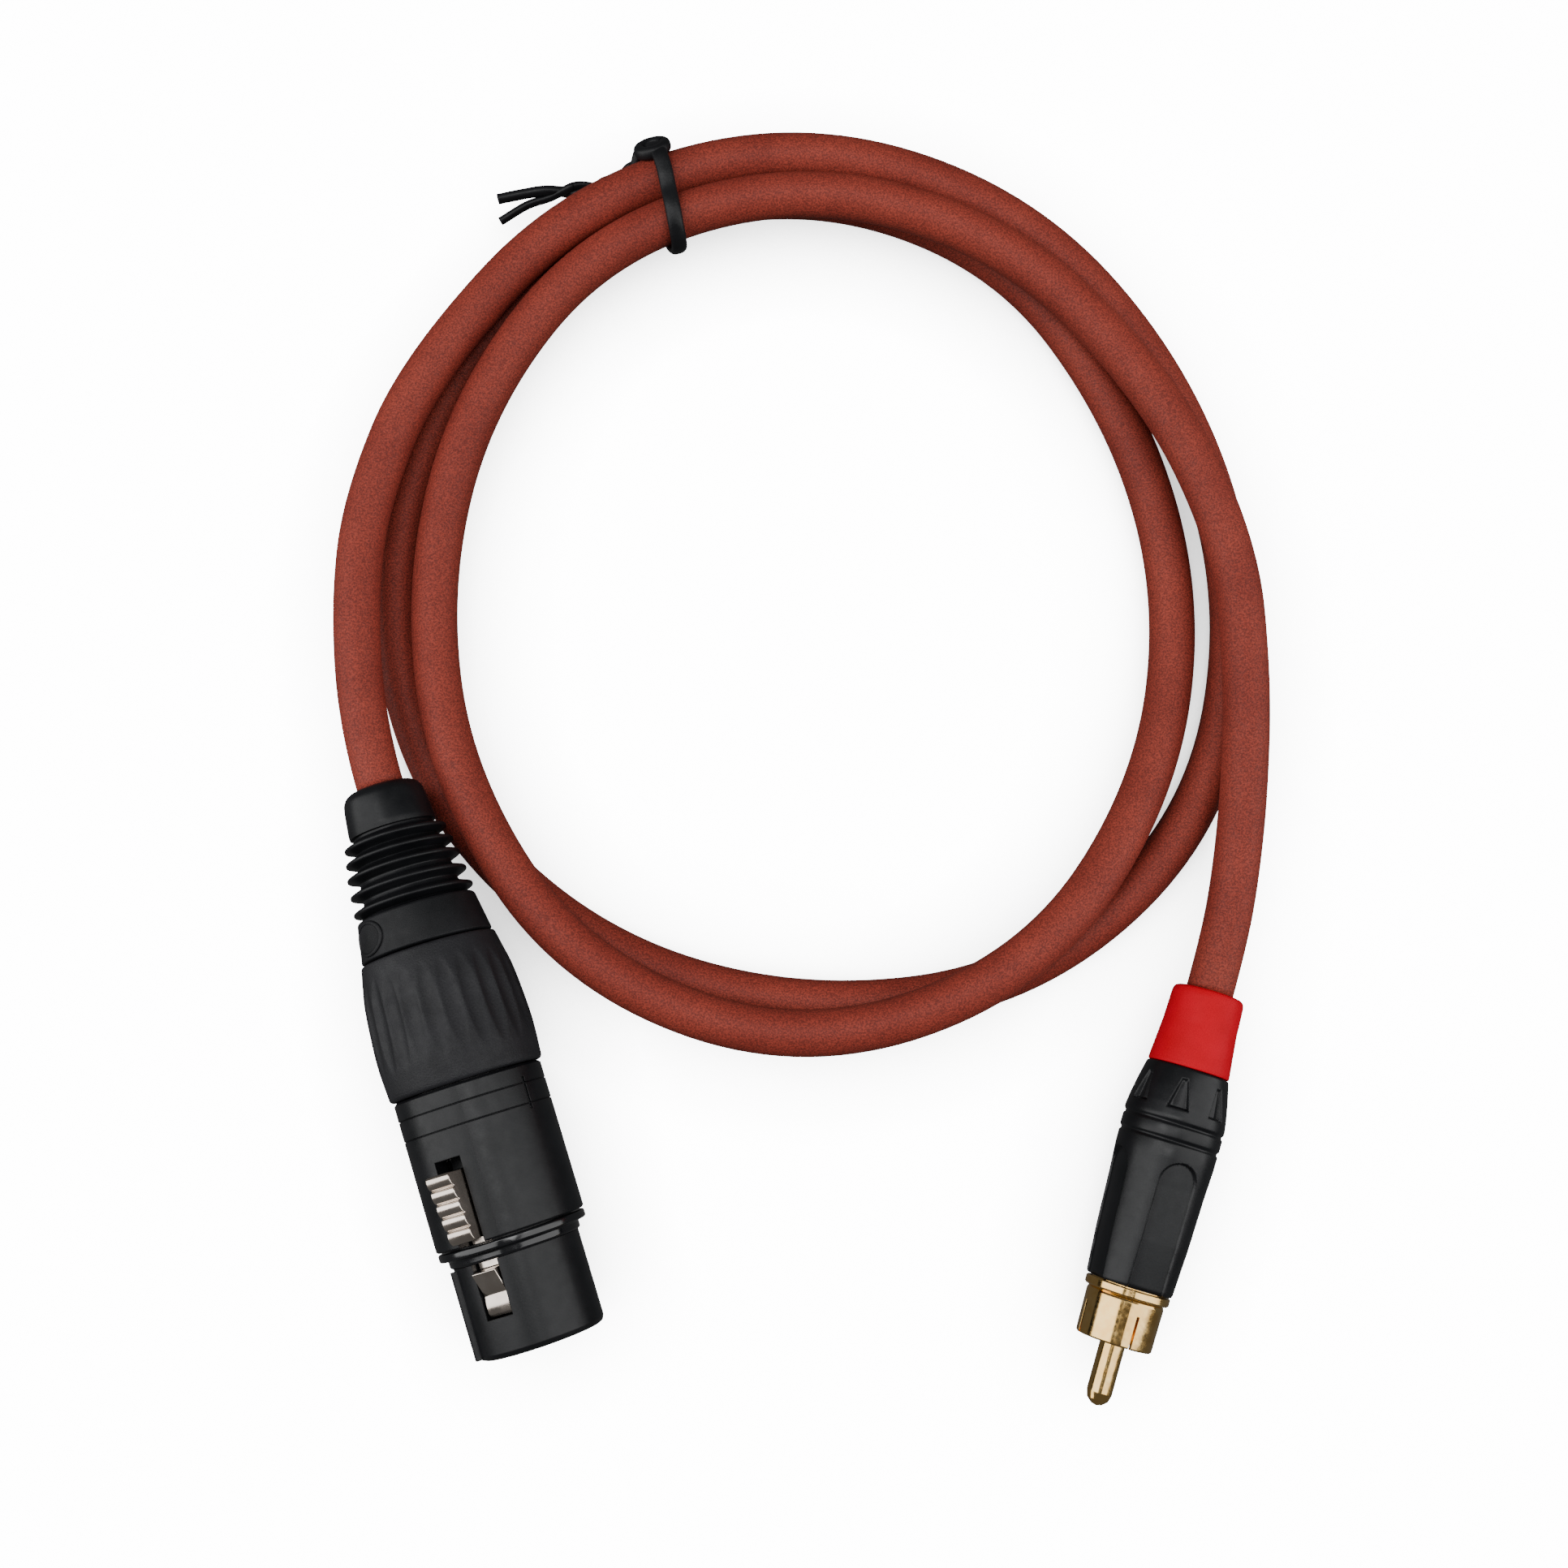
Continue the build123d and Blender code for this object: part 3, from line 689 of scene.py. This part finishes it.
def rca_collar():
    """The red collar, rounded at the cable, with its spigot inside the barrel."""
    outline = [(0.0, 3.4), (0.0, 3.9), (0.25, 4.42), (0.9, 4.6), (4.6, 4.72), (9.9, 5.2), (10.2, 5.16)]
    outline += [(10.22, 4.0), (13.4, 4.0)]
    collar = turned_piece(
        "rca_collar_plastic", eased(outline, 0.25), COLLAR_BORE, RCA_SEAT, "rca_collar", "red_plastic"
    )
    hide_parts("rca_collar")


# ---------------------------------------------------------------- twist tie


STRAP_SIDES = 20
STRAP_SQUARENESS = 0.8


def strap(name, points, width, thick, middle=None, count=8):
    """A flattened strand along a smooth line in the tie's frame. Its flat side faces away from middle."""
    line = spline(points, count)
    section = []
    for k in range(STRAP_SIDES):
        turn = 2 * math.pi * k / STRAP_SIDES
        c = math.copysign(abs(math.cos(turn)) ** STRAP_SQUARENESS, math.cos(turn))
        s = math.copysign(abs(math.sin(turn)) ** STRAP_SQUARENESS, math.sin(turn))
        section.append((c * width / 2, s * thick / 2))
    vertices = []
    faces = []
    normal = None
    for n, point in enumerate(line):
        ahead = line[min(n + 1, len(line) - 1)]
        behind = line[max(n - 1, 0)]
        along = (ahead - behind).normalized()
        if middle:
            normal = point - Vector(middle)
            normal.y = 0
        elif normal is None:
            normal = Vector((0, 0, 1))
        normal = (normal - along * normal.dot(along)).normalized()
        side = along.cross(normal)
        for u, v in section:
            vertices.append(point + side * u + normal * v)
    size = len(section)
    for n in range(len(line) - 1):
        for k in range(size):
            j = (k + 1) % size
            faces.append((n * size + k, n * size + j, (n + 1) * size + j, (n + 1) * size + k))
    faces.append(tuple(range(size)))
    faces.append(tuple(range(len(vertices) - 1, len(vertices) - size - 1, -1)))
    return mesh_piece(name, vertices, faces, TIE_SEAT, "root", "tie_pvc")


# The middle of the bundle of strands in the tie's plane
BUNDLE = (55.8, 0, 7.6)
# The loop at the outer strand: its middle, its half height and half length, and its off-centre place
LOOP = (62.2, 0, 11.3)
LOOP_HALF = (1.2, 1.75)
LOOP_ALONG = -0.5
LOOP_POINTS = 15
TWIST_RADIUS = 0.55
TWIST_STEP = 26


def twist_tie():
    """The band round the strands, the loop that it goes through, the twist and the two tails."""
    band = [
        (62.8, -0.3, 10.6), (61.9, -0.8, 12.0), (60.0, -1.0, 13.0), (57.8, -0.9, 13.2), (55.4, -0.6, 13.0),
        (53.0, -0.3, 13.5), (50.8, 0.0, 12.9), (49.3, 0.2, 11.2), (48.9, 0.3, 9.0), (49.9, 0.4, 6.2),
        (52.4, 0.5, 2.8), (55.4, 0.2, 0.75), (58.6, 0.6, 2.3), (61.2, 1.2, 5.4), (62.6, 2.0, 8.0),
    ]
    tie = strap("tie_band", band, 2.1, 1.25, BUNDLE)
    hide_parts("twist_tie")
    loop = []
    for step in range(LOOP_POINTS):
        turn = math.radians(-70 + 25 * step)
        lean = LOOP_HALF[0] * math.cos(turn)
        loop.append((LOOP[0] + lean, LOOP_ALONG + LOOP_HALF[1] * math.sin(turn), LOOP[2] - lean))
    strap("tie_loop", loop, 1.7, 1.6, LOOP, 4)
    twist = [(62.9, 0.6, 10.2), (62.4, 2.6, 7.0), (62.1, 5.0, 5.2), (62.5, 7.8, 4.6), (63.4, 11.6, 4.5)]
    middle = spline(twist, 6)
    ends = [
        [(64.3, 14.4, 4.6), (65.0, 17.4, 4.3), (65.6, 21.1, 4.0)],
        [(63.6, 14.4, 3.8), (63.7, 17.6, 3.5), (62.9, 21.8, 3.0)],
    ]
    for number, end in enumerate(ends):
        wound = []
        for step, point in enumerate(middle):
            turn = math.radians(180 * number + TWIST_STEP * step)
            wound.append(point + TWIST_RADIUS * Vector((math.cos(turn), 0, math.sin(turn))))
        width = 1.45 - 0.3 * number
        strap(f"tie_tail_{number + 1}", wound + end, width, 0.85 * width, None, 5)


xlr_boot()
xlr_ring()
xlr_badge()
xlr_bushing()
xlr_seal()
xlr_latch()
rca_barrel()
rca_collar()
twist_tie()

# ---------------------------------------------------------------- stage and light


FLOOR_HALF = 4.0
# The floor glows this brightly next to the object, where the lower glow is a painted shadow, and away from
# it, and the backdrop like the floor
PAINTED_SHADOW_GLOW = 1.2
OPEN_GLOW = 14.0
SHADE_REACH = 14.0
FULL_SHADE = 0.2


def make_stage():
    """A pale floor that glows, less so close to the object: a painted contact shadow."""
    corners = [(x * FLOOR_HALF, y * FLOOR_HALF, 0) for x, y in ((-1, -1), (1, -1), (1, 1), (-1, 1))]
    mesh = bpy.data.meshes.new("floor")
    mesh.from_pydata(corners, [], [(0, 1, 2, 3)])
    floor = bpy.data.objects.new("floor", mesh)
    bpy.context.scene.collection.objects.link(floor)
    floor.visible_diffuse = False
    floor.visible_glossy = False
    material = bpy.data.materials.new("floor")
    material.use_nodes = True
    shader = material.node_tree.nodes["Principled BSDF"]
    shader.inputs["Base Color"].default_value = (0.9, 0.9, 0.9, 1)
    shader.inputs["Roughness"].default_value = 0.9
    shader.inputs["Specular IOR Level"].default_value = 0.0
    shader.inputs["Emission Color"].default_value = (1, 1, 1, 1)
    # Ambient occlusion dims the floor's glow near the object: a painted contact shadow
    painted_contact_shadow = material.node_tree.nodes.new("ShaderNodeAmbientOcclusion")
    painted_contact_shadow.inputs["Distance"].default_value = SHADE_REACH * MM
    glow = material.node_tree.nodes.new("ShaderNodeMapRange")
    glow.inputs["From Min"].default_value = FULL_SHADE
    glow.inputs["To Min"].default_value = PAINTED_SHADOW_GLOW
    glow.inputs["To Max"].default_value = OPEN_GLOW
    material.node_tree.links.new(painted_contact_shadow.outputs["AO"], glow.inputs["Value"])
    material.node_tree.links.new(glow.outputs["Result"], shader.inputs["Emission Strength"])
    mesh.materials.append(material)
    floor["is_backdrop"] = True


LIGHTS_AIM = (0, 0.05, 0)


def area_light(name, location, size, power, only_on=None):
    """A softbox aimed at the object, which lights only one collection if asked."""
    data = bpy.data.lights.new(name, "AREA")
    data.shape = "RECTANGLE"
    data.size = size[0]
    data.size_y = size[1]
    data.energy = power
    light = bpy.data.objects.new(name, data)
    light.location = location
    light.rotation_mode = "QUATERNION"
    light.rotation_quaternion = (Vector(LIGHTS_AIM) - Vector(location)).to_track_quat("-Z", "Y")
    bpy.context.scene.collection.objects.link(light)
    if only_on:
        light.light_linking.receiver_collection = only_on


METAL_SLOTS = ("gold", "latch_nickel", "steel")


def metal_pieces():
    """The bright metal pieces, which have softboxes of their own to mirror."""
    metal = bpy.data.collections.new("metal")
    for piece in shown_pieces():
        if piece.data.materials and piece.data.materials[0].name in METAL_SLOTS:
            metal.objects.link(piece)
    return metal


WORLD_FILL = 0.03
WORLD_SHINE = 0.13


def make_world():
    """A dim fill, brighter where gloss and metal mirror it, behind a white backdrop."""
    world = bpy.data.worlds.new("world")
    world.use_nodes = True
    tree = world.node_tree
    fill = tree.nodes["Background"]
    fill.inputs["Color"].default_value = (1, 1, 1, 1)
    fill.inputs["Strength"].default_value = WORLD_FILL
    shine = tree.nodes.new("ShaderNodeBackground")
    shine.inputs["Strength"].default_value = WORLD_SHINE
    path = tree.nodes.new("ShaderNodeLightPath")
    mix = tree.nodes.new("ShaderNodeMixShader")
    tree.links.new(path.outputs["Is Glossy Ray"], mix.inputs["Fac"])
    tree.links.new(fill.outputs["Background"], mix.inputs[1])
    tree.links.new(shine.outputs["Background"], mix.inputs[2])
    backdrop = tree.nodes.new("ShaderNodeBackground")
    backdrop.inputs["Color"].default_value = (1, 1, 1, 1)
    backdrop.inputs["Strength"].default_value = OPEN_GLOW
    seen = tree.nodes.new("ShaderNodeMixShader")
    tree.links.new(path.outputs["Is Camera Ray"], seen.inputs["Fac"])
    tree.links.new(mix.outputs["Shader"], seen.inputs[1])
    tree.links.new(backdrop.outputs["Background"], seen.inputs[2])
    tree.links.new(seen.outputs["Shader"], tree.nodes["World Output"].inputs["Surface"])
    bpy.context.scene.world = world


make_stage()
make_world()
metal = metal_pieces()
area_light("softbox_left", (-0.11, 0.1, 0.6), (0.13, 0.5), 0.95)
area_light("softbox_right", (0.11, 0.1, 0.6), (0.13, 0.5), 0.35)
area_light("metal_left", (-0.5, 0.0, 0.35), (0.5, 0.9), 3.8, only_on=metal)
area_light("metal_right", (0.5, 0.0, 0.35), (0.5, 0.9), 3.2, only_on=metal)

bpy.context.view_layer.update()
